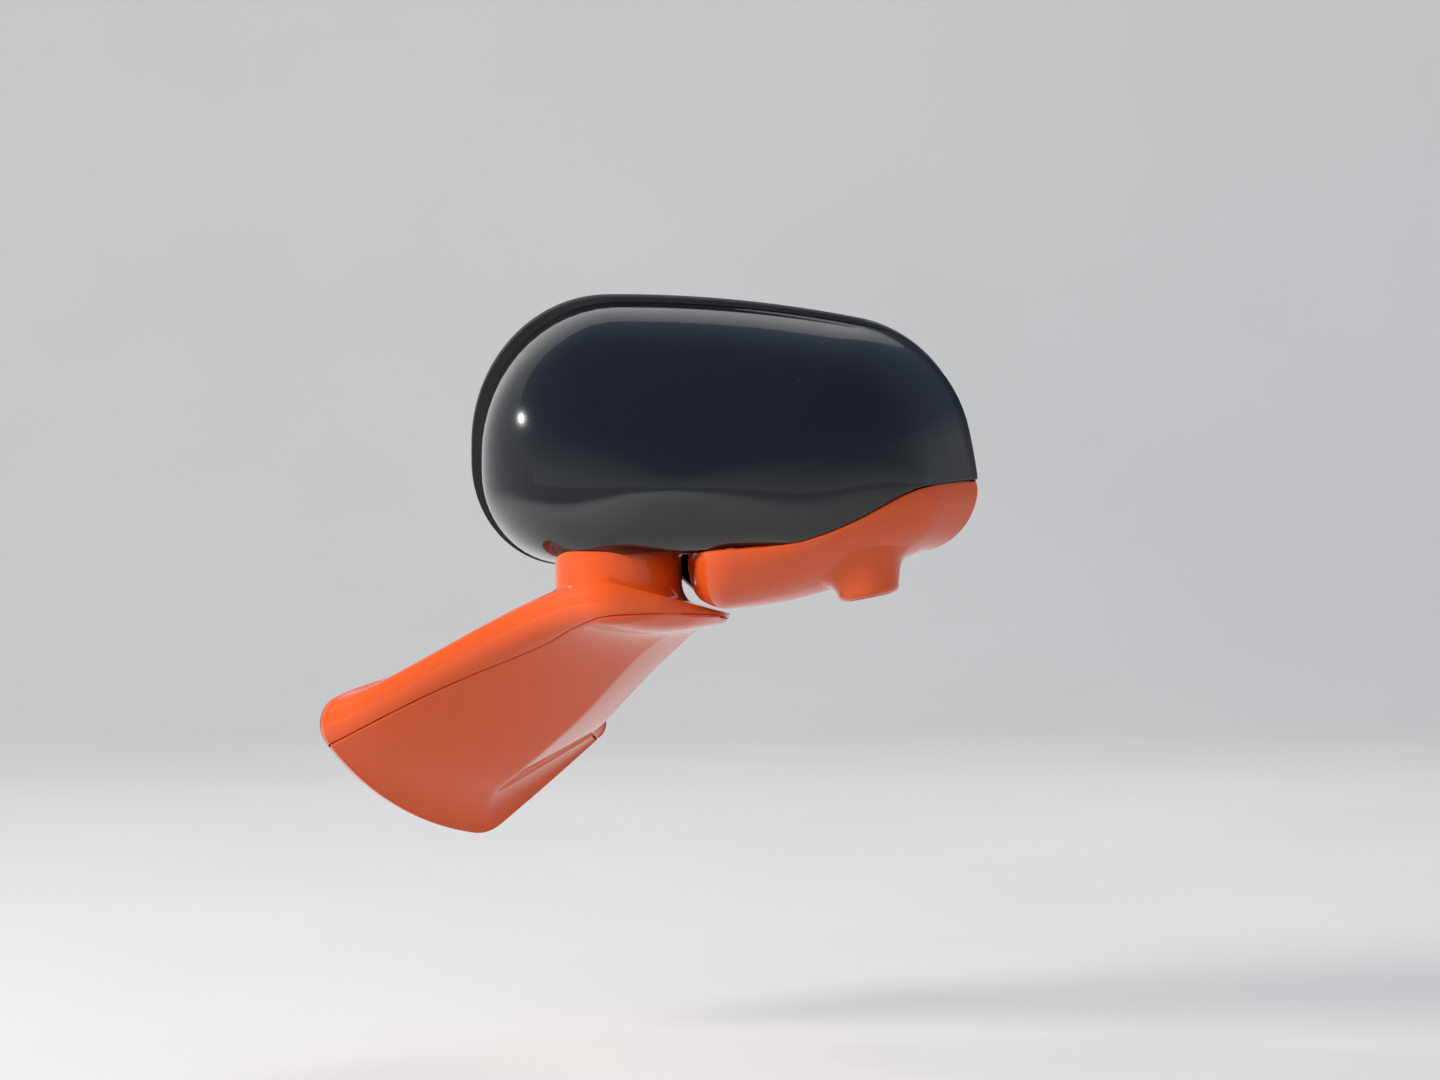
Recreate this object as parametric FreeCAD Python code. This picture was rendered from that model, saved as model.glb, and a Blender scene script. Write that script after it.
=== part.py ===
import FreeCAD, Part
import math
import os

# Left exterior door mirror of a sports car, in millimetres.
# +X points outboard, square to the door's seat; +Y to the rear; +Z up.
# The origin is on the door skin, behind the middle of the foot.

V = FreeCAD.Vector
UP = V(0, 0, 1)
os.makedirs("parts", exist_ok=True)

# Head: where it stands on its arm
head_sweep = 32.0       # degrees that the outboard end is swept to the rear
fold_x = 98.0           # fold axis, out from the door
fold_y = 15.0           # fold axis, to the rear of the foot's middle
fold_inboard = 32.0     # fold axis to the head's middle, along the head
fold_forward = 44.0     # fold axis to the rim plane, across the head

# Head shell
cap_wall = 2.6
shell_gap = 0.4         # seam between cap, lower cover and bezel
top_bow = 620.0         # radius of the gently bowed top edge
side_bow = 300.0
belly_bow = 150.0       # radius of the lower cover's belly
bottom_slope = 0.033    # rise of the bottom edge towards the outboard end, of the width
top_slope = 0.046       # fall of the top edge
shoulder_lean = 0.026   # how far the outboard side leans inboard at its top, of its height
base_corner_r = 12.0
lip_depth = 10.2        # rim plane to the bezel's inner lip
lip_t = 2.0

# Glass and what carries it, as depths from the rim plane
glass_depth = 8.0
glass_clear = 5.2       # glass edge to bezel opening
glass_t = 2.4
carrier_t = 2.6
gimbal_t = 3.0
gimbal_r = 21.0
gimbal_hole_r = 15.0
carrier_stand = 7.0     # carrier's back to both adjusting axes
pin_r = 2.2
ear_t = 4.5
ear_gap = 1.2
ear_wall = 0.7
actuator_t = 6.5
pin_stand = 6.5         # actuator's face to both adjusting axes
actuator_r = 30.0
frame_t = 3.0
frame_gap = 0.7         # frame's edge to the shells
running_fit = 0.06
carrier_back = glass_depth + glass_t + carrier_t
pin_depth = carrier_back + carrier_stand
actuator_depth = pin_depth + pin_stand
frame_depth = actuator_depth + actuator_t

# Fold joint
neck_r = 27.0
neck_wall = 2.6
neck_top = 98.5
neck_low = 70.0
neck_fillet = 3.4
seat_top = 73.5
flute_height = 85.0     # hollowed plane that the lower cover sweeps over, on the fold axis
flute_slope = 0.287     # its fall towards flute_heading
flute_heading = 57.0
fold_gap = 4.3          # neck to the head's shells
pivot_r = 12.0
pivot_bore_r = 7.5
pivot_top = 142.0
seat_gap = 0.3
boss_r = 17.0
boss_top = 134.0
drive_size = (40.0, 22.0, 22.0)

# Arm and foot
arm_wall = 2.6
flange_t = 2.4
gasket_t = 1.6
gasket_edge = 0.6
plate_t = 4.0
plate_inset = 5.4
seat_r = 18.0
seat_low = 67.0
tip_x = 134.0
flare_reach = 15.0      # how far out the foot's concave flare runs
flare_steps = 5
screw_circle_r = 18.0
screw_centre = (-8.0, 14.0)
screw_hole_r = 2.6
screw_boss_r = 6.0
screw_boss_t = 8.0
screw_count = 3
harness_r = 9.0
harness_wall = 3.0
harness_length = 10.0
harness_at = (31.0, 16.0)

# Camera pod under the lower cover
pod_s = 78.0
pod_depth = 35.0
pod_tip_z = 79.5
pod_tip_r = 12.0
pod_root_r = 20.0
pod_length = 18.0
pod_lean = 12.0
camera_r = 9.6
camera_length = 24.0
camera_recess = 0.8
lens_r = 6.6
lens_ball_r = 12.0

# Head sections: depth from the rim plane, then the outline's extents
# columns: depth, inboard, outboard, bottom, top
head_sections = [
    (8.0, -112.0, 116.0, 91.0, 205.0),
    (25.0, -105.0, 110.5, 91.5, 200.0),
    (45.0, -94.0, 102.0, 92.5, 188.0),
    (60.0, -78.0, 89.0, 94.0, 171.0),
    (72.0, -54.0, 68.0, 100.0, 152.0),
    (80.0, -18.0, 34.0, 114.0, 137.0),
]
rim_rear = (0.0, -121.5, 112.5, 91.0, 210.0)
rim_front = (7.6, -118.0, 115.5, 90.5, 208.0)
glass_row = (glass_depth, -100.0, 98.5, 103.0, 191.5)

# Lower cover at the same depths: inboard limit and bottom
# columns: inboard, bottom
base_sections = [
    (-20.0, 88.0),
    (-20.0, 77.5),
    (-20.0, 74.5),
    (-14.0, 81.5),
    (20.0, 98.0),
]

# Corner radii as shares of the side's height
corner_share = {"low_in": 0.38, "low_out": 0.29, "top_out": 0.60, "top_in": 0.55}

# Seam between cap and lower cover, seen from the front
# columns: along the head, height
seam_points = [(-60.0, 60.0), (-60.0, 94.0), (45.0, 100.8), (74.0, 108.2), (92.0, 118.6), (102.5, 125.0)]
seam_points += [(114.0, 128.1), (150.0, 130.0)]

# Gap between neck and the head's shells: radius beyond the neck, height
gap_line = [(fold_gap, 104.0), (fold_gap, 91.0), (5.6, 86.2), (8.2, 80.0), (11.3, 77.4), (18.8, 75.0), (34.0, 71.0)]

# Arm sections: distance from the door, then three corner circles
# columns: x, (y, z, r) of the leading edge, of the keel and of the trailing edge
arm_sections = [
    (4.0, (-62.0, 22.0, 12.5), (1.0, -7.0, 11.5), (61.0, 16.0, 7.0)),
    (19.0, (-55.4, 28.6, 11.7), (5.2, 2.4, 10.7), (57.4, 21.9, 6.9)),
    (50.0, (-32.0, 50.0, 10.5), (24.0, 30.0, 9.0), (56.0, 42.0, 6.0)),
    (85.0, (-10.0, 70.0, 10.5), (32.0, 57.0, 7.0), (54.0, 62.0, 5.5)),
    (110.0, (-3.0, 77.0, 10.5), (34.0, 69.0, 6.0), (51.0, 70.5, 5.5)),
    (127.0, (6.0, 77.5, 8.5), (31.0, 72.5, 5.5), (48.0, 72.5, 4.8)),
    (tip_x, (16.0, 77.0, 4.5), (30.0, 74.5, 4.0), (40.0, 74.0, 3.8)),
]
arm_bows = (125.0, 1500.0, 165.0)

# Flare of the foot: what its rim adds to the first section
flare_extra = ((0.0, 0.0, 0.5), (5.0, -3.0, 8.5), (7.0, 0.0, 0.0))

# Arm seam at the fold axis' side, seen from the front: columns: x, height
arm_seam = [(-5.0, 5.4), (85.0, 59.3), (108.0, 69.2), (138.0, 73.3)]
arm_seam_fall = 0.06    # how the seam falls to the rear

# Arm spine: columns: x, centre y, centre z, width, height
spine_sections = [
    (plate_t - 0.5, -8.0, 12.0, 42.0, 20.0),
    (50.0, 10.0, 43.0, 44.0, 14.0),
    (84.0, 22.0, 68.5, 32.0, 9.0),
]


def unit(a, b):
    """Direction from a to b in the plane."""
    length = math.hypot(b[0] - a[0], b[1] - a[1])
    return ((b[0] - a[0]) / length, (b[1] - a[1]) / length)


def bow_centre(a, b, radius):
    """Centre of the big arc that runs round the circles a and b, on their inner side."""
    reach_a = radius - a[2]
    reach_b = radius - b[2]
    span = math.hypot(b[0] - a[0], b[1] - a[1])
    along = (reach_a ** 2 - reach_b ** 2 + span ** 2) / (2 * span)
    aside = math.sqrt(reach_a ** 2 - along ** 2)
    d = unit(a, b)
    return (a[0] + along * d[0] - aside * d[1], a[1] + along * d[1] + aside * d[0])


def bowed_outline(circles, bows, lift, inset=0.0):
    """Closed wire of tangent arcs round corner circles, counter-clockwise."""
    count = len(circles)
    centres = []
    for i in range(count):
        centres.append(bow_centre(circles[i], circles[(i + 1) % count], bows[i]))
    edges = []
    for i in range(count):
        here = circles[i]
        there = circles[(i + 1) % count]
        into = unit(centres[i - 1], here)
        out = unit(centres[i], here)
        half = (into[0] + out[0], into[1] + out[1])
        size = math.hypot(half[0], half[1])
        mid = (half[0] / size, half[1] / size)
        r = here[2] - inset
        corner = [(here[0] + r * n[0], here[1] + r * n[1]) for n in (into, mid, out)]
        edges.append(Part.Arc(*[lift(p) for p in corner]).toShape())
        end = unit(centres[i], there)
        half = (out[0] + end[0], out[1] + end[1])
        size = math.hypot(half[0], half[1])
        mid = (half[0] / size, half[1] / size)
        big = bows[i] - inset
        side = [(centres[i][0] + big * n[0], centres[i][1] + big * n[1]) for n in (out, mid, end)]
        edges.append(Part.Arc(*[lift(p) for p in side]).toShape())
    return Part.Wire(edges)


def head_place(shape):
    """From the head's own axes (along, to the rear, up) to the part's."""
    turn = math.radians(head_sweep)
    along = (math.cos(turn), math.sin(turn))
    rear = (-math.sin(turn), math.cos(turn))
    x = fold_x + fold_inboard * along[0] + fold_forward * rear[0]
    y = fold_y + fold_inboard * along[1] + fold_forward * rear[1]
    shape = shape.copy()
    shape.Placement = FreeCAD.Placement(V(x, y, 0), FreeCAD.Rotation(UP, head_sweep)).multiply(shape.Placement)
    return shape


def head_circles(row):
    """Corner circles of a head section, from its extents."""
    depth, inboard, outboard, bottom, top = row
    low_out = bottom + bottom_slope * (outboard - inboard)
    top_out = top - top_slope * (outboard - inboard)
    tall = top - bottom
    short = top_out - low_out
    r = [corner_share["low_in"] * tall, corner_share["low_out"] * short]
    r += [corner_share["top_out"] * short, corner_share["top_in"] * tall]
    return [
        (inboard + r[0], bottom + r[0], r[0]),
        (outboard - r[1], low_out + r[1], r[1]),
        (outboard - shoulder_lean * short - r[2], top_out - r[2], r[2]),
        (inboard + r[3], top - r[3], r[3]),
    ]


head_bows = (top_bow, side_bow, top_bow, side_bow)


def head_wire(row, inset=0.0, shift=0.0):
    """One section of the head, set back by shift."""
    y = -(row[0] - shift)
    return bowed_outline(head_circles(row), head_bows, lambda p: V(p[0], y, p[1]), inset)


def head_loft(rows, inset=0.0, shift=0.0):
    wires = [head_wire(row, inset, shift) for row in rows]
    return Part.makeLoft(wires, True, False, False, 3)


def base_wire(row, low, inset=0.0, shift=0.0):
    """One section of the lower cover: the head's outboard side, a lower belly inboard."""
    circles = head_circles(row)
    r = base_corner_r
    circles[0] = (low[0] + r, low[1] + r, r)
    circles[3] = (low[0] + r, row[4] - r, r)
    bows = (belly_bow, side_bow, top_bow, side_bow)
    y = -(row[0] - shift)
    return bowed_outline(circles, bows, lambda p: V(p[0], y, p[1]), inset)


def base_loft(inset=0.0, shift=0.0):
    rows = zip(head_sections, base_sections)
    return Part.makeLoft([base_wire(row, low, inset, shift) for row, low in rows], True, False, False, 3)


def prism(points, arcs_at, lift, direction):
    """Solid under a line-and-arc profile, closed through its first point's height."""
    edges = []
    i = 0
    while i < len(points) - 1:
        if i in arcs_at:
            edges.append(Part.Arc(lift(points[i]), lift(points[i + 1]), lift(points[i + 2])).toShape())
            i += 2
        else:
            edges.append(Part.makeLine(lift(points[i]), lift(points[i + 1])))
            i += 1
    foot = (points[-1][0], points[0][1])
    edges.append(Part.makeLine(lift(points[-1]), lift(foot)))
    edges.append(Part.makeLine(lift(foot), lift(points[0])))
    return Part.Face(Part.Wire(edges)).extrude(direction)


def seam_body(raise_by):
    """What lies below the seam between cap and lower cover."""
    points = [(s, z + raise_by) for s, z in seam_points]
    return prism(points, (2, 4), lambda p: V(p[0], 40, p[1]), V(0, -160, 0))


def arm_below(raise_by):
    """What lies below the arm's seam."""
    low = -80.0
    half = 150.0
    points = [(arm_seam[0][0], low)] + [(x, z + raise_by) for x, z in arm_seam]
    fall = half * arm_seam_fall
    return prism(points, (2,), lambda p: V(p[0], -half, p[1] + fall), V(0, 2 * half, -2 * fall))


def arm_wire(row, inset=0.0, at=None):
    x = row[0] if at is None else at
    return bowed_outline(row[1:], arm_bows, lambda p: V(x, p[0], p[1]), inset)


def arm_loft(inset=0.0):
    """The arm beyond the foot's flare."""
    return Part.makeLoft([arm_wire(row, inset) for row in arm_sections[1:]], True, False, False, 3)


def foot_row(x):
    """Section in the foot's flare: the arm widened along a quarter circle."""
    near, far = arm_sections[0], arm_sections[1]
    share = (x - near[0]) / flare_reach
    spread = 1 - math.sqrt(1 - (1 - share) ** 2)
    row = [x]
    for a, b, extra in zip(near[1:], far[1:], flare_extra):
        row.append(tuple(p + share * (q - p) + spread * e for p, q, e in zip(a, b, extra)))
    return row


def foot_loft(inset=0.0):
    rows = []
    for k in range(flare_steps + 1):
        turn = math.pi / 2 * k / flare_steps
        rows.append(foot_row(arm_sections[0][0] + flare_reach * (1 - math.cos(turn))))
    return Part.makeLoft([arm_wire(row, inset) for row in rows], True, True)


def above_flute(lower):
    """Everything above the hollowed plane, lowered by a wall."""
    turn = math.radians(flute_heading)
    size = 300.0
    block = Part.makeBox(size, size, size, V(-size / 2, -size / 2, 0))
    block.rotate(V(0, 0, 0), V(0, 1, 0), math.degrees(math.atan(flute_slope)))
    block.rotate(V(0, 0, 0), UP, math.degrees(turn))
    block.translate(V(fold_x, fold_y, flute_height - lower))
    return block


def turned(edges):
    """Solid of revolution about the fold axis."""
    return Part.Face(Part.Wire(edges)).revolve(V(fold_x, fold_y, 0), UP, 360)


def on_neck(edge):
    """Whether an edge runs round the neck where it stands on the arm."""
    for share in (0.0, 0.5, 1.0):
        at = edge.valueAt(edge.FirstParameter + share * (edge.LastParameter - edge.FirstParameter))
        if abs(math.hypot(at.x - fold_x, at.y - fold_y) - neck_r) > 0.01 or at.z > neck_top - 1:
            return False
    return edge.Length > 0.5


def neck_room():
    """What the head's shells leave free round the neck."""
    line = [V(fold_x + neck_r + r, fold_y, z) for r, z in gap_line]
    curve = Part.BSplineCurve()
    curve.interpolate(line[1:])
    corners = [line[-1], V(fold_x, fold_y, line[-1].z), V(fold_x, fold_y, line[0].z), line[0], line[1]]
    edges = [curve.toShape()]
    for k in range(len(corners) - 1):
        edges.append(Part.makeLine(corners[k], corners[k + 1]))
    return turned(edges)


def post(r, low, high):
    return Part.makeCylinder(r, high - low, V(fold_x, fold_y, low), UP)


parts = {}

# Outside and inside of the painted arm
flange_x = gasket_t + flange_t
foot = foot_row(flange_x)
foot_flange = Part.makeLoft([arm_wire(foot, 0, gasket_t), arm_wire(foot, 0, flange_x)], True, True)
outer = foot_flange.fuse(foot_loft()).fuse(arm_loft()).cut(above_flute(0.0))
outer = outer.fuse(post(neck_r, neck_low, neck_top)).removeSplitter()
neck_root = [edge for edge in outer.Edges if on_neck(edge)]
outer = outer.makeFillet(neck_fillet, neck_root)
inner_foot = Part.makeLoft([arm_wire(foot, arm_wall, -1), arm_wire(foot, arm_wall, flange_x)], True, True)
hollow = inner_foot.fuse(foot_loft(arm_wall)).fuse(arm_loft(arm_wall)).cut(above_flute(arm_wall))
tip_block = Part.makeBox(50, 300, 300, V(tip_x - arm_wall, -150, -100))
hollow = hollow.cut(tip_block).cut(post(neck_r, neck_low, neck_top))

# Die-cast bracket: plate on the door, screw bosses, spine up to the turret's seat
OUT = V(1, 0, 0)
bracket = Part.Face(arm_wire(foot, plate_inset, 0.0)).extrude(V(plate_t, 0, 0))
spine_wires = []
for x, y, z, wide, high in spine_sections:
    corners = [(y - wide / 2, z - high / 2), (y + wide / 2, z - high / 2)]
    corners += [(y + wide / 2, z + high / 2), (y - wide / 2, z + high / 2)]
    loop = [V(x, a, b) for a, b in corners]
    spine_wires.append(Part.makePolygon(loop + loop[:1]))
bracket = bracket.fuse(Part.makeLoft(spine_wires, True, True))
bracket = bracket.fuse(post(seat_r, seat_low, seat_top))
harness_start = V(0, harness_at[0], harness_at[1])
bracket = bracket.fuse(Part.makeCylinder(harness_r + harness_wall, harness_length, harness_start, OUT))
screw_places = []
for k in range(screw_count):
    turn = math.radians(30 + 360 * k / screw_count)
    y = screw_centre[0] + screw_circle_r * math.cos(turn)
    z = screw_centre[1] + screw_circle_r * math.sin(turn)
    screw_places.append(V(0, y, z))
    bracket = bracket.fuse(Part.makeCylinder(screw_boss_r, screw_boss_t, screw_places[-1], OUT))
bracket_body = bracket.copy()
bracket = bracket.cut(Part.makeCylinder(harness_r, harness_length, harness_start, OUT))
for place in screw_places:
    bracket = bracket.cut(Part.makeCylinder(screw_hole_r, screw_boss_t, place, OUT))
parts["mount_bracket"] = bracket

# Painted covers, split along the arm's seam; the neck's skirt is part of the upper one
skirt_r = neck_r - neck_wall
arm_skin = outer.cut(hollow).cut(bracket_body).cut(post(skirt_r, seat_top, neck_top))
parts["arm_upper_cover"] = arm_skin.cut(arm_below(shell_gap / 2))
parts["arm_lower_cover"] = arm_skin.common(arm_below(-shell_gap / 2))

# Cast collar inside the skirt, on the bracket's seat
neck = post(skirt_r - seat_gap, seat_top, neck_top)
parts["turret_collar"] = neck.cut(post(pivot_r, seat_top, neck_top))

# Rubber gasket under the foot's rim
gasket_out = Part.Face(arm_wire(foot, gasket_edge, 0.0)).extrude(V(gasket_t, 0, 0))
gasket_in = Part.Face(arm_wire(foot, plate_inset, -1.0)).extrude(V(gasket_t + 2, 0, 0))
parts["foot_gasket"] = gasket_out.cut(gasket_in)

# Steel pivot tube on the bracket's seat
tube = post(pivot_r, seat_top, pivot_top)
parts["pivot_tube"] = tube.cut(post(pivot_bore_r, seat_top, pivot_top))

# Head's cap and lower cover
cap_outer = head_loft(head_sections)
first = head_sections[0]
last = head_sections[-1]
cap_rows = [(first[0] - 4,) + first[1:]] + head_sections[1:-1] + [(last[0] - cap_wall,) + last[1:]]
cap_shell = cap_outer.cut(head_loft(cap_rows, cap_wall)).cut(seam_body(shell_gap))
turret_cut = neck_room()
parts["front_cap"] = head_place(cap_shell).cut(turret_cut)

base_shell = base_loft().cut(base_loft(cap_wall, cap_wall)).common(seam_body(0.0))
lean = math.radians(pod_lean)
pod_up = V(-math.sin(lean), 0, math.cos(lean))
pod_tip = V(pod_s, -pod_depth, pod_tip_z)
pod = Part.makeCone(pod_tip_r, pod_root_r, pod_length, pod_tip, pod_up)
camera_face = pod_tip + pod_up * camera_recess
camera = Part.makeCylinder(camera_r, camera_length, camera_face, pod_up)
socket = Part.makeCylinder(camera_r, pod_length + 10, pod_tip - pod_up * 5, pod_up)
lip_room = Part.Face(head_wire((0.0,) + glass_row[1:], -glass_clear - lip_t - seat_gap))
base_shell = base_shell.fuse(pod).cut(socket).cut(lip_room.extrude(V(0, -lip_depth - seat_gap, 0)))
parts["base_cover"] = head_place(base_shell).cut(turret_cut)
parts["camera_module"] = head_place(camera)
lens_sink = math.sqrt(lens_ball_r ** 2 - lens_r ** 2)
ball = Part.makeSphere(lens_ball_r, camera_face + pod_up * lens_sink)
lens_room = Part.makeCylinder(lens_r, lens_ball_r, camera_face, pod_up * -1)
parts["camera_lens"] = head_place(ball.common(lens_room))

# Rear bezel round the glass
opening = -glass_clear
band = Part.makeLoft([head_wire(rim_rear), head_wire(rim_front)], True, True)
lip_face = Part.Face(head_wire((0.0,) + glass_row[1:], opening - lip_t))
hole_face = Part.Face(head_wire((-5.0,) + glass_row[1:], opening))
bezel = band.fuse(lip_face.extrude(V(0, -lip_depth, 0))).cut(hole_face.extrude(V(0, -lip_depth - 10, 0)))
parts["rear_bezel"] = head_place(bezel)

# Frame plate with the fold boss
near, far = head_sections[1], head_sections[2]
share = (frame_depth + frame_t - near[0]) / (far[0] - near[0])
frame_row = [a + share * (b - a) for a, b in zip(near, far)]
plate_face = Part.Face(head_wire([frame_depth] + frame_row[1:], cap_wall + frame_gap))
camera_room = Part.makeCylinder(camera_r + seat_gap, camera_length + seat_gap, camera_face, pod_up)
frame_plate = head_place(plate_face.extrude(V(0, -frame_t, 0)).cut(camera_room))
boss = post(boss_r, neck_top + seat_gap, boss_top)
frame = frame_plate.cut(turret_cut).fuse(boss)
frame = frame.cut(post(pivot_r + running_fit, neck_top - 1, pivot_top + seat_gap))
parts["head_frame"] = frame

# Fold drive, one plain block round the pivot's top
box = Part.makeBox(drive_size[0], drive_size[1], drive_size[2])
box.translate(V(-drive_size[0] / 2 - fold_inboard, -drive_size[1] - frame_depth - frame_t, boss_top))
parts["fold_drive"] = head_place(box).cut(post(pivot_r + seat_gap, boss_top - 1, pivot_top + seat_gap))

# Glass actuator: disc on the frame with two ears for the upright pins
mid_s = (glass_row[1] + glass_row[2]) / 2
mid_z = (glass_row[3] + glass_row[4]) / 2
hub = V(mid_s, -pin_depth, mid_z)
REAR = V(0, 1, 0)
disc_start = V(mid_s, -frame_depth, mid_z)
actuator = Part.makeCylinder(actuator_r, frame_depth - actuator_depth, disc_start, REAR)
ear_half = pin_r + running_fit + ear_wall
ear_in = gimbal_r + ear_gap
for side in (-1, 1):
    low = mid_z + ear_in if side > 0 else mid_z - ear_in - ear_t
    ear = Part.makeBox(2 * ear_half, pin_stand + ear_half, ear_t)
    ear.translate(V(mid_s - ear_half, -actuator_depth, low))
    actuator = actuator.fuse(ear)
upright = Part.makeCylinder(pin_r + running_fit, 200, hub - UP * 100, UP)
actuator = head_place(actuator.cut(upright))
parts["glass_actuator"] = actuator.cut(post(boss_r + seat_gap, 50, 200))

# Gimbal ring with two upright and two level pins
ring = Part.makeCylinder(gimbal_r, gimbal_t, hub - REAR * (gimbal_t / 2), REAR)
pin_reach = ear_in + ear_t
ring = ring.fuse(Part.makeCylinder(pin_r, 2 * pin_reach, hub - UP * pin_reach, UP))
ALONG = V(1, 0, 0)
ring = ring.fuse(Part.makeCylinder(pin_r, 2 * pin_reach, hub - ALONG * pin_reach, ALONG))
ring = ring.cut(Part.makeCylinder(gimbal_hole_r, 20, hub - REAR * 10, REAR))
parts["gimbal_ring"] = head_place(ring)

# Glass carrier with its two ears, and the mirror glass
glass = Part.Face(head_wire(glass_row)).extrude(V(0, -glass_t, 0))
parts["mirror_glass"] = head_place(glass)
carrier_row = (glass_depth + glass_t,) + glass_row[1:]
carrier = Part.Face(head_wire(carrier_row)).extrude(V(0, -carrier_t, 0))
for side in (-1, 1):
    low = mid_s + ear_in if side > 0 else mid_s - ear_in - ear_t
    ear = Part.makeBox(ear_t, pin_depth + ear_half - carrier_back, 2 * ear_half)
    ear.translate(V(low, -pin_depth - ear_half, mid_z - ear_half))
    carrier = carrier.fuse(ear)
level = Part.makeCylinder(pin_r + running_fit, 400, hub - ALONG * 200, ALONG)
parts["glass_carrier"] = head_place(carrier.cut(level))

for name, shape in parts.items():
    shape.exportStep("parts/" + name + ".step")
    print(name, len(shape.Solids), round(shape.Volume / 1000, 2), shape.isValid(), shape.BoundBox)
for point in (hub, pod_tip):
    print("row frame", head_place(Part.Vertex(point)).Point)
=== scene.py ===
import math

import bmesh
import bpy
import numpy as np
from mathutils import Matrix, Vector
from mathutils.bvhtree import BVHTree


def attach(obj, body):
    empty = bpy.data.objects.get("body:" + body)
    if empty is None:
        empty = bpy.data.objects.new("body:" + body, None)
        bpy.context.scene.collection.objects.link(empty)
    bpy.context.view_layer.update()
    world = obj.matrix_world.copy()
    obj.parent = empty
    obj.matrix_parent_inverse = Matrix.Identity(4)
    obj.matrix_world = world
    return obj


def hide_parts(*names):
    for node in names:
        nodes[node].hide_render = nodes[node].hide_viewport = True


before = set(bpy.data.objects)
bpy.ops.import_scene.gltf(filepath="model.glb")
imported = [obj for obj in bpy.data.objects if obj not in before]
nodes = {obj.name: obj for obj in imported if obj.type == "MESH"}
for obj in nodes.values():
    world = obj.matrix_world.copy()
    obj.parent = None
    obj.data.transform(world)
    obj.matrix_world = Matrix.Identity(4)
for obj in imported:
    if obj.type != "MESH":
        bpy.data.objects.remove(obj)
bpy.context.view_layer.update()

# Rubber gasket between the foot's rim and the door.
# A moulded EPDM profile with a soft outer bead. It is swept round the foot's outline by Geometry Nodes:
# the outline is three corner circles (across, up, radius, in mm) joined by wide tangent arcs.

foot_circles = ((-62.0, 22.0, 13.0), (6.0, -10.0, 20.0), (68.0, 16.0, 7.0))
arm_bows = (125.0, 1500.0, 165.0)
gasket_thick = 1.6
gasket_bead = 0.8
bead_inside = 0.3
mm = 0.001


def outline(circles, bows, corner_steps, side_steps, inset=0.0):
    """Points round the corner circles and the arcs that join them, counter-clockwise."""
    count = len(circles)
    centres = []
    for k in range(count):
        a, b = circles[k], circles[(k + 1) % count]
        reach_a, reach_b = bows[k] - a[2], bows[k] - b[2]
        dx, dy = b[0] - a[0], b[1] - a[1]
        span = math.hypot(dx, dy)
        along = (reach_a ** 2 - reach_b ** 2 + span ** 2) / (2 * span)
        aside = math.sqrt(reach_a ** 2 - along ** 2)
        centres.append((a[0] + (along * dx - aside * dy) / span, a[1] + (along * dy + aside * dx) / span))
    points = []

    def arc(centre, radius, start, stop, steps):
        turn = (stop - start + math.pi) % (2 * math.pi) - math.pi
        for i in range(steps):
            angle = start + turn * i / steps
            points.append((centre[0] + radius * math.cos(angle), centre[1] + radius * math.sin(angle)))

    for k in range(count):
        x, y, r = circles[k]
        before, after, there = centres[k - 1], centres[k], circles[(k + 1) % count]
        into = math.atan2(y - before[1], x - before[0])
        out = math.atan2(y - after[1], x - after[0])
        end = math.atan2(there[1] - after[1], there[0] - after[0])
        arc((x, y), r - inset, into, out, corner_steps)
        arc(after, bows[k] - inset, out, end, side_steps)
    return np.array(points)


def keep_mesh(name, mesh):
    """A finished object at the origin from a mesh in metres."""
    made = bpy.data.objects.new(name, mesh)
    bpy.context.scene.collection.objects.link(made)
    return made


class Wire:
    """A socket in a material's node tree that can be used in sums."""

    def __init__(self, finish, socket):
        self.finish = finish
        self.socket = socket

    def calc(self, operation, first, second):
        return self.finish.node("Math", {"operation": operation}, {0: first, 1: second})

    def __add__(self, other):
        return self.calc("ADD", self, other)

    def __sub__(self, other):
        return self.calc("SUBTRACT", self, other)

    def __rsub__(self, other):
        return self.calc("SUBTRACT", other, self)

    def __mul__(self, other):
        return self.calc("MULTIPLY", self, other)

    __radd__ = __add__
    __rmul__ = __mul__


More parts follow.
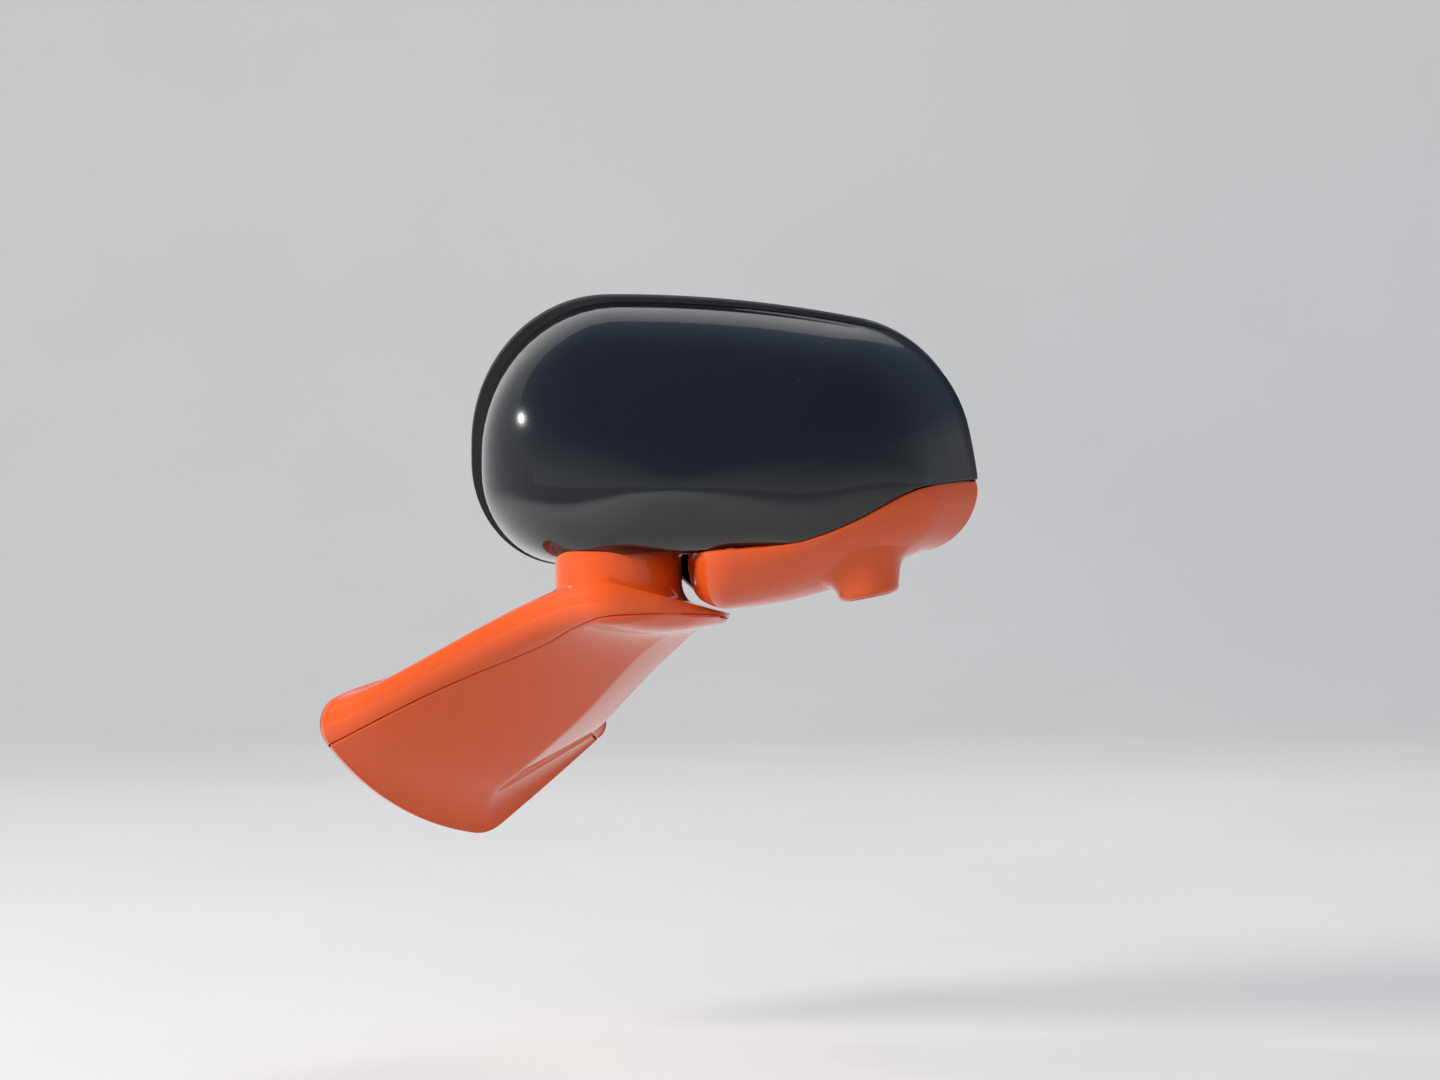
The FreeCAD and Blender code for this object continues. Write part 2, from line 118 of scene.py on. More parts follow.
class Finish:
    """One procedural material, or the world; node() adds a node and gives one output as a Wire."""

    def __init__(self, name, world_tree=None, **constants):
        self.tree = world_tree
        if world_tree is None:
            self.material = bpy.data.materials.new(name)
            self.material.use_nodes = True
            self.tree = self.material.node_tree
            self.shader = self.tree.nodes["Principled BSDF"]
            for label, value in constants.items():
                self.shader.inputs[label.replace("_", " ")].default_value = value
            self.place = self.node("TexCoord", output="Object")

    def node(self, kind, settings=None, sockets=None, output=0):
        made = self.tree.nodes.new("ShaderNode" + kind)
        for label, value in (settings or {}).items():
            if label == "stops":
                ramp = made.color_ramp
                while len(ramp.elements) < len(value):
                    ramp.elements.new(0.5)
                for element, (at, shade) in zip(ramp.elements, value):
                    element.position = at
                    rgb = (shade,) * 3 if isinstance(shade, float) else shade
                    element.color = (*rgb, 1)
            else:
                setattr(made, label, value)
        for label, value in (sockets or {}).items():
            if isinstance(value, Wire):
                self.tree.links.new(value.socket, made.inputs[label])
            else:
                made.inputs[label].default_value = value
        return Wire(self, made.outputs[output])

    def noise(self, scale, detail=2.0, rough=0.5, place=None):
        sockets = {"Vector": place or self.place, "Scale": scale, "Detail": detail, "Roughness": rough}
        return self.node("TexNoise", {}, sockets)

    def ramp(self, value, *stops):
        return self.node("ValToRGB", {"stops": stops}, {0: value})

    def blend(self, share, first, second):
        return self.node("Mix", {"data_type": "RGBA"}, {0: share, 6: first, 7: second}, output=2)

    def bump(self, height, distance, strength):
        return self.node("Bump", {}, {"Height": height, "Distance": distance, "Strength": strength})

    def feed(self, **links):
        for label, wire in links.items():
            self.tree.links.new(wire.socket, self.shader.inputs[label.replace("_", " ")])
        return self.material


rubber = Finish("rubber", Roughness=0.7, IOR=1.5, Specular_IOR_Level=0.3)
bloom = rubber.noise(60.0, 3.0)
rubber.feed(
    Base_Color=rubber.ramp(bloom, (0.35, (0.012, 0.012, 0.012)), (0.75, (0.03, 0.029, 0.028))),
    Roughness=0.6 + 0.25 * bloom,
    Normal=rubber.bump(rubber.noise(1400.0, 2.0), 0.00008, 0.6))


def swept_profile_tree(name):
    """Geometry Nodes: a rounded profile swept round the object's own edge loop."""
    tree = bpy.data.node_groups.new(name, "GeometryNodeTree")
    face = tree.interface
    face.new_socket("Path", in_out="INPUT", socket_type="NodeSocketGeometry")
    for label, kind in (("Bead", "Float"), ("Depth", "Float"), ("Steps", "Int"), ("Finish", "Material")):
        face.new_socket(label, in_out="INPUT", socket_type="NodeSocket" + kind)
    face.new_socket("Swept", in_out="OUTPUT", socket_type="NodeSocketGeometry")
    add, link = tree.nodes.new, tree.links.new
    given, result = add("NodeGroupInput"), add("NodeGroupOutput")
    path, ring = add("GeometryNodeMeshToCurve"), add("GeometryNodeCurvePrimitiveCircle")
    size, shape = add("ShaderNodeCombineXYZ"), add("GeometryNodeTransform")
    sweep, real = add("GeometryNodeCurveToMesh"), add("GeometryNodeRealizeInstances")
    coat = add("GeometryNodeSetMaterial")
    link(given.outputs["Path"], path.inputs["Mesh"])
    link(given.outputs["Steps"], ring.inputs["Resolution"])
    ring.inputs["Radius"].default_value = 1.0
    link(ring.outputs["Curve"], shape.inputs["Geometry"])
    link(given.outputs["Depth"], size.inputs["X"])
    link(given.outputs["Bead"], size.inputs["Y"])
    size.inputs["Z"].default_value = 1.0
    link(size.outputs["Vector"], shape.inputs["Scale"])
    link(path.outputs["Curve"], sweep.inputs["Curve"])
    link(shape.outputs["Geometry"], sweep.inputs["Profile Curve"])
    link(sweep.outputs["Mesh"], real.inputs["Geometry"])
    link(real.outputs["Geometry"], coat.inputs["Geometry"])
    link(given.outputs["Finish"], coat.inputs["Material"])
    link(coat.outputs["Geometry"], result.inputs["Swept"])
    return tree


def grown_by_nodes(name, mesh, tree, **values):
    """The plain mesh that a Geometry Nodes tree makes of a mesh."""
    carrier = keep_mesh(name, mesh)
    modifier = carrier.modifiers.new("rule", "NODES")
    modifier.node_group = tree
    for item in tree.interface.items_tree:
        if item.in_out == "INPUT" and item.name in values:
            modifier[item.identifier] = values[item.name]
    depsgraph = bpy.context.evaluated_depsgraph_get()
    result = bpy.data.meshes.new_from_object(carrier.evaluated_get(depsgraph))
    carrier.modifiers.remove(modifier)
    carrier.data = result
    result.polygons.foreach_set("use_smooth", [True] * len(result.polygons))
    return carrier


def dress(finish, *names):
    """Gives CAD nodes a finish."""
    for name in names:
        nodes[name].data.materials.clear()
        nodes[name].data.materials.append(finish.material)


bead_line = outline(foot_circles, arm_bows, 24, 40, inset=gasket_bead + bead_inside)
bead_mesh = bpy.data.meshes.new("gasket_bead_path")
bead_mesh.from_pydata([(gasket_thick / 2 * mm, y * mm, z * mm) for y, z in bead_line],
                      [(k, (k + 1) % len(bead_line)) for k in range(len(bead_line))], [])
gasket_lip = grown_by_nodes("gasket_bead", bead_mesh, swept_profile_tree("gasket bead sweep"),
                            Bead=gasket_bead * mm, Depth=gasket_bead * mm, Steps=14, Finish=rubber.material)
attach(gasket_lip, "arm")
dress(rubber, "foot_gasket")

# Mount bracket inside the foot, with its plate against the door.
# Die-cast aluminium: a fine blasted grain and faint flow marks from the casting. The CAD solid already has
# its bosses and holes, so it only gets this finish.

cast_alloy = Finish("cast_alloy", Metallic=1.0, Roughness=0.5)
flow = cast_alloy.noise(35.0, 4.0, 0.6)
grain = cast_alloy.noise(900.0, 3.0, 0.6)
cast_alloy.feed(
    Base_Color=cast_alloy.ramp(flow, (0.3, (0.42, 0.42, 0.43)), (0.7, (0.58, 0.58, 0.58))),
    Roughness=0.42 + 0.22 * grain,
    Normal=cast_alloy.bump(grain, 0.0002, 0.5))
dress(cast_alloy, "mount_bracket")

# Painted arm: an upper and a lower cover, injection-moulded and painted, that meet along a thin dark seam.
# Each skin is made from the arm's sections, trimmed at the seam, turned in at its edges and given its wall.

arm_stations = (4.0, 19.0, 50.0, 85.0, 110.0, 127.0, 134.0)
# One row a station. Columns: across, up and radius of the leading edge, then of the keel, then of the
# trailing edge.
arm_circles = (
    (-62.0, 22.0, 12.5, 1.0, -7.0, 11.5, 61.0, 16.0, 7.0),
    (-55.4, 28.6, 11.7, 5.2, 2.4, 10.7, 57.4, 21.9, 6.9),
    (-32.0, 50.0, 10.5, 24.0, 30.0, 9.0, 58.0, 42.0, 6.0),
    (-10.0, 70.0, 10.5, 32.0, 57.0, 7.0, 56.5, 62.0, 5.5),
    (-3.0, 77.0, 10.5, 34.0, 68.5, 6.0, 52.5, 70.5, 5.5),
    (6.0, 77.5, 8.5, 31.0, 72.0, 5.5, 48.0, 72.5, 4.8),
    (16.0, 77.0, 4.5, 30.0, 74.5, 4.0, 40.0, 74.0, 3.8))
flange_top = 4.0
flare_reach = 15.0
flare_extra = (0.0, 0.0, 0.5, 5.0, -3.0, 8.5, 7.0, 0.0, 0.0)
seam_stations = (-5.0, 20.0, 50.0, 85.0, 96.0, 108.0, 122.0, 138.0)
seam_heights = (7.0, 19.7, 39.9, 58.9, 63.9, 67.8, 71.2, 73.3)
seam_fall = 0.03
seam_half = 0.2
arm_wall = 2.6
edge_roll = 0.7
foot_edge = [1.7, 3.0]
arm_step = 1.2
tip_bulge = 0.5
fold_at = (98.0, 15.0)
flute_height = 85.0
flute_slope = 0.287
flute_heading = math.radians(57.0)
flute_soft = 1.6
probe = 0.05
sharp_from = math.radians(35.0)


def curve_through(knots, rows):
    """Natural cubic spline through rows of values; gives a function of the knot's value."""
    t, y = np.array(knots, float), np.array(rows, float)
    h = np.diff(t)
    count = len(t)
    left, right = np.eye(count), np.zeros_like(y)
    for i in range(1, count - 1):
        left[i, i - 1:i + 2] = h[i - 1], 2 * (h[i - 1] + h[i]), h[i]
        right[i] = 6 * ((y[i + 1] - y[i]) / h[i] - (y[i] - y[i - 1]) / h[i - 1])
    bend = np.linalg.solve(left, right)

    def at(value):
        i = min(max(int(np.searchsorted(t, value)) - 1, 0), count - 2)
        a, b = t[i + 1] - value, value - t[i]
        return ((bend[i] * a ** 3 + bend[i + 1] * b ** 3) / (6 * h[i])
                + (y[i] / h[i] - bend[i] * h[i] / 6) * a + (y[i + 1] / h[i] - bend[i + 1] * h[i] / 6) * b)
    return at


def quilt(rings, pole=None):
    """Surface through closed rings of points, fanned onto a pole past the last one."""
    mesh = bmesh.new()
    rows = [[mesh.verts.new(point) for point in ring] for ring in rings]
    for near, far in zip(rows, rows[1:]):
        for k in range(len(near)):
            mesh.faces.new((near[k - 1], near[k], far[k], far[k - 1]))
    if pole is not None:
        tip = mesh.verts.new(pole)
        for k in range(len(rows[-1])):
            mesh.faces.new((rows[-1][k - 1], rows[-1][k], tip))
    middle = Vector(np.mean([v.co for v in mesh.verts], axis=0))
    facing = 0.0
    for face in mesh.faces:
        face.normal_update()
        facing += face.calc_area() * face.normal.dot(face.calc_center_median() - middle)
    if facing < 0:
        bmesh.ops.reverse_faces(mesh, faces=mesh.faces)
    return mesh


def trim(mesh, field, set_back, snap=0.04, merge=0.3):
    """Cuts away a surface where field(point) is under 0, and set_back mm more, measured along it."""
    mesh.normal_update()
    probes = [Vector(step) for step in ((probe, 0, 0), (0, probe, 0), (0, 0, probe))]
    value = {}
    for v in mesh.verts:
        f = field(v.co)
        if abs(f) < 6 * set_back:
            slope = Vector([(field(v.co + step) - f) / probe for step in probes])
            slope -= v.normal * slope.dot(v.normal)
            f -= set_back * slope.length
        value[v] = 0.0 if abs(f) < snap else f
    for edge in list(mesh.edges):
        a, b = edge.verts
        if value[a] * value[b] < 0:
            made = bmesh.utils.edge_split(edge, a, value[a] / (value[a] - value[b]))[1]
            value[made] = 0.0
    for face in list(mesh.faces):
        on_line = [loop for loop in face.loops if value[loop.vert] == 0.0]
        signs = {value[v] > 0 for v in face.verts if value[v] != 0.0}
        if len(on_line) == 2 and len(signs) == 2:
            bmesh.utils.face_split(face, on_line[0].vert, on_line[1].vert)
    gone = [f for f in mesh.faces if sum(value[v] for v in f.verts) <= 0]
    bmesh.ops.delete(mesh, geom=gone, context="FACES")
    bmesh.ops.remove_doubles(mesh, verts=[v for v in mesh.verts if v.is_boundary], dist=merge)
    return mesh


def harden(mesh, wall, roll, steps=4):
    """Turns a trimmed surface into a closed moulding: rolled edges, a wall and a marked inner face."""
    bare = mesh.verts.layers.float.new("bare_inside")
    mesh.normal_update()
    surface = list(mesh.faces)
    normal = {v: v.normal.copy() for v in mesh.verts}
    aside = {}
    border = [(loop.vert, loop.link_loop_next.vert, face) for face in surface for loop in face.loops
              if loop.edge.is_boundary]
    for a, b, face in border:
        off = (b.co - a.co).normalized().cross(face.normal)
        for v in (a, b):
            aside[v] = aside.get(v, Vector()) + off
    for v, off in aside.items():
        off -= normal[v] * off.dot(normal[v])
        aside[v] = off.normalized()
    inner = {v: mesh.verts.new(v.co - normal[v] * wall) for v in normal}
    layers = [{v: v for v in aside}]
    for k in range(1, steps + 1):
        angle = math.pi / 2 * k / steps
        out, under = roll * math.sin(angle), roll * (1 - math.cos(angle))
        layers.append({v: mesh.verts.new(v.co + off * out - normal[v] * under) for v, off in aside.items()})
    layers.append({v: mesh.verts.new(v.co + off * roll - normal[v] * wall) for v, off in aside.items()})
    for made in list(inner.values()) + list(layers[-1].values()):
        made[bare] = 1.0
    layers.append({v: inner[v] for v in aside})
    for face in surface:
        mesh.faces.new([inner[v] for v in reversed(face.verts)])
    for near, far in zip(layers, layers[1:]):
        for a, b, face in border:
            mesh.faces.new((near[b], near[a], far[a], far[b]))
    return mesh


def finish_piece(name, mesh, material, body, at=Matrix()):
    """Moves a mesh in mm to its place in metres, gives it its material and hands it to its body."""
    bmesh.ops.delete(mesh, geom=[v for v in mesh.verts if not v.link_faces], context="VERTS")
    mesh.transform(Matrix.Scale(mm, 4) @ at)
    data = bpy.data.meshes.new(name)
    mesh.to_mesh(data)
    mesh.free()
    data.polygons.foreach_set("use_smooth", [True] * len(data.polygons))
    data.set_sharp_from_angle(angle=sharp_from)
    data.materials.append(material)
    piece = keep_mesh(name, data)
    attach(piece, body)
    return piece


# The colour coat is a warm orange with a fine, barely visible flake under a clear coat. A long, shallow
# wave in the clear coat breaks up the reflections as sprayed lacquer does. The inner faces are bare plastic.
orange_paint = Finish("orange_paint", Specular_IOR_Level=0.15, Coat_Roughness=0.03, Coat_IOR=1.42)
bare = orange_paint.node("Attribute", {"attribute_name": "bare_inside"}, output="Fac")
flake = orange_paint.node("TexVoronoi", {"feature": "F1"}, {"Vector": orange_paint.place, "Scale": 5200.0})
drift = orange_paint.noise(9.0, 2.0)
body_colour = orange_paint.blend(drift, (0.83, 0.085, 0.008, 1), (0.90, 0.105, 0.012, 1))
painted = orange_paint.blend(flake * 0.18, body_colour, (0.98, 0.2, 0.03, 1))
orange_paint.feed(
    Base_Color=orange_paint.blend(bare, painted, (0.012, 0.012, 0.013, 1)),
    Roughness=0.36 + 0.12 * orange_paint.noise(2500.0, 1.0) + 0.2 * bare,
    Coat_Weight=1.0 - bare,
    Normal=orange_paint.bump(orange_paint.noise(420.0, 1.0), 0.00002, 0.35))

arm_shape = curve_through(arm_stations, arm_circles)
arm_seam = curve_through(seam_stations, [[h] for h in seam_heights])
axis_x, axis_y = fold_at
heading = (math.cos(flute_heading), math.sin(flute_heading))


def arm_ring(x):
    """The arm's outline at a distance from the door, with the foot's concave flare added."""
    values = arm_shape(max(x, flange_top))
    rest = min(max((flange_top + flare_reach - x) / flare_reach, 0.0), 1.0)
    values = values + (1 - math.sqrt(1 - rest ** 2)) * np.array(flare_extra)
    circles = [tuple(values[k:k + 3]) for k in (0, 3, 6)]
    return [(x, y, z) for y, z in outline(circles, arm_bows, corner_steps=22, side_steps=46)]


def flute(x, y):
    """Height of the tilted, hollowed plane that the head's lower cover sweeps over."""
    return flute_height - flute_slope * ((x - axis_x) * heading[0] + (y - axis_y) * heading[1])


def carve(point):
    """Lowers a point of the arm to the flute, with a soft shoulder."""
    x, y, z = point
    over = z - flute(x, y)
    if over < -flute_soft:
        return point
    if over > flute_soft:
        return (x, y, z - over)
    return (x, y, z - (over + flute_soft) ** 2 / (4 * flute_soft))


near_foot = [flange_top + flare_reach * (1 - math.cos(a)) for a in np.linspace(0, math.pi / 2, 16)]
arm_end = arm_stations[-1]
blade = list(np.arange(near_foot[-1] + arm_step, arm_end - arm_step / 3, arm_step))
arm_rings = [[carve(p) for p in arm_ring(x)] for x in foot_edge + near_foot + blade + [arm_end]]
arm_tip = np.mean(arm_rings[-1], axis=0) + (tip_bulge, 0, 0)


def arm_half(sign):
    """One side of the arm's seam as a closed moulding."""
    half = quilt(arm_rings, arm_tip)
    trim(half, lambda p: sign * (p.z + seam_fall * p.y - arm_seam(p.x)[0]), seam_half + edge_roll)
    return harden(half, arm_wall, edge_roll)


upper_skin = finish_piece("arm_upper_skin", arm_half(1), orange_paint.material, "arm")
lower_skin = finish_piece("arm_lower_skin", arm_half(-1), orange_paint.material, "arm")
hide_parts("arm_upper_cover")
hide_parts("arm_lower_cover")

# Neck of the arm, the round wall that the head sits on, painted with the upper cover.
# It flows out onto the arm in a concave fillet: tight over the sunlit edge in front and wide over the
# flute behind. Each strip of it is a Bezier curve from the wall to where a ray meets the arm's top.

neck_r = 27.0
neck_top = 98.5
neck_lip = 0.8
neck_wall = 2.2
neck_steps = 144
fillet_front, fillet_behind = 2.6, 3.4
fillet_lowest = 68.0
high_up = Vector((0, 0, 150.0))
down = Vector((0, 0, -1.0))


def bezier(grips, steps=12):
    """Points along a cubic Bezier curve."""
    return [grips[0] * (1 - s) ** 3 + grips[1] * 3 * s * (1 - s) ** 2
            + grips[2] * 3 * s ** 2 * (1 - s) + grips[3] * s ** 3
            for s in (step / steps for step in range(steps + 1))]


def closed_strips(strips):
    """Closed solid from strips of points that run round it, each strip closed on itself."""
    mesh = bmesh.new()
    grid = [[mesh.verts.new(p) for p in strip] for strip in strips]
    for k in range(len(grid)):
        for i in range(len(grid[k])):
            mesh.faces.new((grid[k - 1][i - 1], grid[k][i - 1], grid[k][i], grid[k - 1][i]))
    bmesh.ops.recalc_face_normals(mesh, faces=mesh.faces)
    return mesh


def neck_mesh():
    """The neck's lip, wall and fillet, in strips round its axis."""
    arm_top = quilt(arm_rings, arm_tip)
    sight = BVHTree.FromBMesh(arm_top)
    arm_top.free()
    centre = Vector((axis_x, axis_y, 0))
    columns = []
    for k in range(neck_steps):
        angle = 2 * math.pi * k / neck_steps
        out = Vector((math.cos(angle), math.sin(angle), 0))
        behind = max(0.0, math.cos(angle - flute_heading))
        spread = fillet_front + fillet_behind * behind
        foot, tilt = None, None
        while foot is None or foot.z < fillet_lowest:
            foot, tilt = sight.ray_cast(centre + out * (neck_r + spread) + high_up, down)[:2]
            spread *= 0.9
        inward = -(out - tilt * out.dot(tilt)).normalized()
        foot = foot - Vector((0, 0, 0.03))
        rise = spread * (1.0 + 0.5 * behind)
        wall = centre + out * neck_r + Vector((0, 0, foot.z + inward.z * spread + rise))
        grips = (wall, wall - Vector((0, 0, rise * 0.6)), foot + inward * spread * 0.6, foot)
        column = [centre + out * (neck_r - 2.0) + Vector((0, 0, neck_top))]
        for step in range(4):
            turn = math.pi / 2 * step / 3
            column.append(centre + out * (neck_r - neck_lip + neck_lip * math.sin(turn))
                          + Vector((0, 0, neck_top - neck_lip + neck_lip * math.cos(turn))))
        column += bezier(grips)
        column.append(foot - inward * 0.1 - tilt * 0.8)
        for height in (foot.z - 2.0, neck_top - 0.4):
            column.append(centre + out * (neck_r - neck_wall) + Vector((0, 0, height)))
        columns.append(column)
    return closed_strips(columns)


finish_piece("neck_skirt", neck_mesh(), orange_paint.material, "arm")
dress(cast_alloy, "turret_collar")

# Gloss black front cap of the head.
# One injection-moulded shell in piano black, from the rim round the bezel to the blunt nose in front.
# Its rings follow the head's depth and close on a pole; the seam to the lower cover is trimmed from it.

head_sweep = math.radians(32.0)
fold_inboard = 32.0
fold_forward = 44.0
top_bow = 620.0
side_bow = 300.0
head_bows = (top_bow, side_bow, top_bow, side_bow)
bottom_slope = 0.033
top_slope = 0.046
shoulder_lean = 0.026
corner_share = (0.38, 0.29, 0.60, 0.55)
nose_share = (0.46, 0.46, 0.50, 0.50)
nose_from, nose_to = 30.0, 70.0
# Columns: depth from the rim plane, middle along, middle up, half width, half height.
cap_rows = (
    (8.0, 2.0, 148.0, 114.0, 57.0),
    (25.0, 2.75, 145.75, 107.75, 54.25),
    (45.0, 4.0, 140.25, 98.0, 47.75),
    (60.0, 5.5, 132.5, 83.5, 38.5),
    (72.0, 7.0, 126.0, 61.0, 26.0),
    (80.0, 8.0, 125.5, 26.0, 11.5))
nose_depth, nose_along, nose_up = 82.4, 8.0, 125.5
oval_within = 58.0
rim_bead, bead_reach = 0.7, 4.5
ring_step = 1.45
cap_seam_at = (-62.0, -20.0, 20.0, 45.0, 60.0, 74.0, 83.0, 92.0, 102.5, 114.0, 122.0)
cap_seam_heights = (93.9, 96.6, 99.2, 100.8, 103.3, 108.2, 112.8, 118.6, 125.0, 128.1, 128.5)
cap_seam_ends = (-61.0, 121.0)
seam_starts = -55.0
cap_wall = 2.6
cap_roll = 0.8

along = (math.cos(head_sweep), math.sin(head_sweep))
rearward = (-along[1], along[0])
head_at = Matrix.Translation((axis_x + fold_inboard * along[0] + fold_forward * rearward[0],
                              axis_y + fold_inboard * along[1] + fold_forward * rearward[1], 0)) \
    @ Matrix.Rotation(head_sweep, 4, "Z")
cap_seam = curve_through(cap_seam_at, [[h] for h in cap_seam_heights])


def smooth(t):
    """0 to 1 with an even start and stop."""
    t = min(max(t, 0.0), 1.0)
    return t * t * (3 - 2 * t)


def head_corners(inboard, outboard, bottom, top, depth):
    """The head outline's corner circles from its extents; towards the nose they grow alike."""
    low_out = bottom + bottom_slope * (outboard - inboard)
    top_out = top - top_slope * (outboard - inboard)
    tall, short = top - bottom, top_out - low_out
    near = smooth((depth - nose_from) / (nose_to - nose_from))
    r = [size * (share + near * (nose - share))
         for size, share, nose in zip((tall, short, short, tall), corner_share, nose_share)]
    return [(inboard + r[0], bottom + r[0], r[0]), (outboard - r[1], low_out + r[1], r[1]),
            (outboard - shoulder_lean * short - r[2], top_out - r[2], r[2]),
            (inboard + r[3], top - r[3], r[3])]


def head_ring(inboard, outboard, bottom, top, depth, inset=0.0, steps=(14, 26)):
    """The head's outline at a depth, as points along, forward and up."""
    circles = head_corners(inboard, outboard, bottom, top, depth)
    return [(s, -depth, z) for s, z in outline(circles, head_bows, steps[0], steps[1], inset)]


def cap_surface():
    """Rings from the rim to the nose, on a spline that comes level at the pole."""
    rows = [np.array(row) for row in cap_rows]
    pole = np.array((nose_depth, nose_along, nose_up, 0.0, 0.0))
    mirrored = [row * (1, 1, 1, -1, -1) for row in rows[::-1][:2]]
    rows = rows + [pole] + mirrored
    knots = [0.0]
    for a, b in zip(rows, rows[1:]):
        knots.append(knots[-1] + math.dist(a[[0, 3, 4]], b[[0, 3, 4]]))
    shape = curve_through(knots, rows)
    last = knots[len(cap_rows)]
    rings = []
    for t in list(np.linspace(0, 8, 8)) + list(np.arange(9.4, last - 1.0, ring_step)):
        depth, s, z, w, h = shape(t)
        bead = rim_bead * max(0.0, 1 - t / bead_reach) ** 2
        ring = head_ring(s - w - bead, s + w + bead, z - h - bead, z + h + bead, depth)
        share = smooth(1 - w / oval_within)
        for k, (x, y, up) in enumerate(ring):
            angle = math.atan2((up - z) / h, (x - s) / w)
            oval_x, oval_up = s + w * math.cos(angle), z + h * math.sin(angle)
            ring[k] = (x + share * (oval_x - x), y, up + share * (oval_up - up))
        rings.append(ring)
    return quilt(rings, (nose_along, -nose_depth, nose_up))


def above_seam(p):
    """Height above the seam between cap and lower cover."""
    return p.z - cap_seam(min(max(p.x, cap_seam_ends[0]), cap_seam_ends[1]))[0]


cap_mesh = cap_surface()
trim(cap_mesh, lambda p: max(above_seam(p), seam_starts - p.x), seam_half + cap_roll)
harden(cap_mesh, cap_wall, cap_roll)

gloss_black = Finish("gloss_black", Specular_IOR_Level=0.2, Coat_Roughness=0.015, Coat_IOR=1.5)
cap_bare = gloss_black.node("Attribute", {"attribute_name": "bare_inside"}, output="Fac")
haze = gloss_black.noise(14.0, 3.0)
dust = gloss_black.node("TexVoronoi", {"feature": "F1"}, {"Vector": gloss_black.place, "Scale": 95.0})
specks = gloss_black.ramp(dust, (0.0, 1.0), (0.022, 1.0), (0.04, 0.0))
gloss_black.feed(
    Base_Color=gloss_black.blend(specks * 0.35, (0.0035, 0.0042, 0.006, 1), (0.10, 0.10, 0.10, 1)),
    Roughness=0.08 + 0.10 * haze + 0.3 * specks + 0.4 * cap_bare,
    Coat_Weight=1.0 - cap_bare,
    Normal=gloss_black.bump(gloss_black.noise(260.0, 1.0), 0.00001, 0.25))
cap = finish_piece("cap_shell", cap_mesh, gloss_black.material, "head", head_at)
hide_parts("front_cap")

# Seam tongue: a strip of the cap's own black plastic just inside its wall.
# It is moulded with the cap and laps behind the lower cover's edge, so that no light shows through the seam.

tongue_above, tongue_below = 4.0, 3.5
tongue_starts = -50.0
tongue_wall, tongue_roll = 1.2, 0.5
tongue_clear = 0.1
tongue_mesh = cap_surface()
trim(tongue_mesh, lambda p: min(tongue_above - above_seam(p), above_seam(p) + tongue_below,
                                p.x - tongue_starts), tongue_roll)
for v in tongue_mesh.verts:
    v.co -= v.normal * (cap_wall + tongue_clear)
harden(tongue_mesh, tongue_wall, tongue_roll, steps=2)
finish_piece("seam_tongue", tongue_mesh, gloss_black.material, "head", head_at)

# Lower cover of the head, painted with the arm, and the camera pod that grows out of it.
# A soft shoulder runs just under the seam; the pod's wall meets the belly in a wide fillet, whose feet are
# the nearest points of the belly.

cover_depths = (8.0, 25.0, 45.0, 60.0, 72.0, 77.0)
# One row a depth. Columns: inboard, outboard, bottom and top of the head; inboard limit and belly height
# of the cover.
cover_rows = (
    (-112.0, 116.0, 91.0, 205.0, -20.0, 91.6),
    (-105.0, 110.5, 91.5, 200.0, -16.0, 77.5),
    (-94.0, 102.0, 92.5, 188.0, 3.0, 74.5),
    (-78.0, 89.0, 94.0, 171.0, 10.0, 81.5),
    (-54.0, 68.0, 100.0, 152.0, 16.0, 98.0),
    (-38.0, 52.0, 106.0, 145.0, 18.0, 107.0))
cover_corner_r = 12.0
belly_bow = 150.0
rear_depth = 24.0
shoulder_drop = 4.6
shoulder_proud = 0.9
# The edge beside the neck, as points of reach from the fold axis and height.
neck_gap_line = ((31.3, 96.0), (31.3, 90.0), (32.6, 86.2), (35.2, 80.0), (38.3, 77.4), (45.8, 75.0),
                 (60.0, 72.0))


def cover_surface():
    """The lower cover's rings, whose belly swells from the flat rim at the bezel."""
    shape = curve_through(cover_depths, cover_rows)
    rings = []
    for depth in np.linspace(cover_depths[0], cover_depths[-1], 60):
        inboard, outboard, bottom, top, low_s, low_z = shape(depth)
        circles = head_corners(inboard, outboard, bottom, top, depth)
        circles[0] = (low_s + cover_corner_r, low_z + cover_corner_r, cover_corner_r)
        circles[3] = (low_s + cover_corner_r, top - cover_corner_r, cover_corner_r)
        swell = min((depth - cover_depths[0]) / (rear_depth - cover_depths[0]), 1.0)
        swell *= 2 - swell
        bows = (1 / (swell / belly_bow + (1 - swell) / top_bow), side_bow, top_bow, side_bow)
        rings.append([(s, -depth, z) for s, z in outline(circles, bows, corner_steps=16, side_steps=64)])
    return quilt(rings)


def from_neck(p):
    """Distance outside the turned gap round the neck and its fillet."""
    reach = math.hypot(p.x + fold_inboard, p.y + fold_forward)
    if p.z >= neck_gap_line[0][1]:
        return reach - neck_gap_line[0][0]
    best = 1e9
    for (r0, z0), (r1, z1) in zip(neck_gap_line, neck_gap_line[1:]):
        dr, dz = r1 - r0, z1 - z0
        t = min(max(((reach - r0) * dr + (p.z - z0) * dz) / (dr * dr + dz * dz), 0.0), 1.0)
        gap = math.hypot(reach - r0 - t * dr, p.z - z0 - t * dz)
        side = (reach - r0) * -dz + (p.z - z0) * dr
        if gap < abs(best):
            best = gap if side > 0 else -gap
    return best


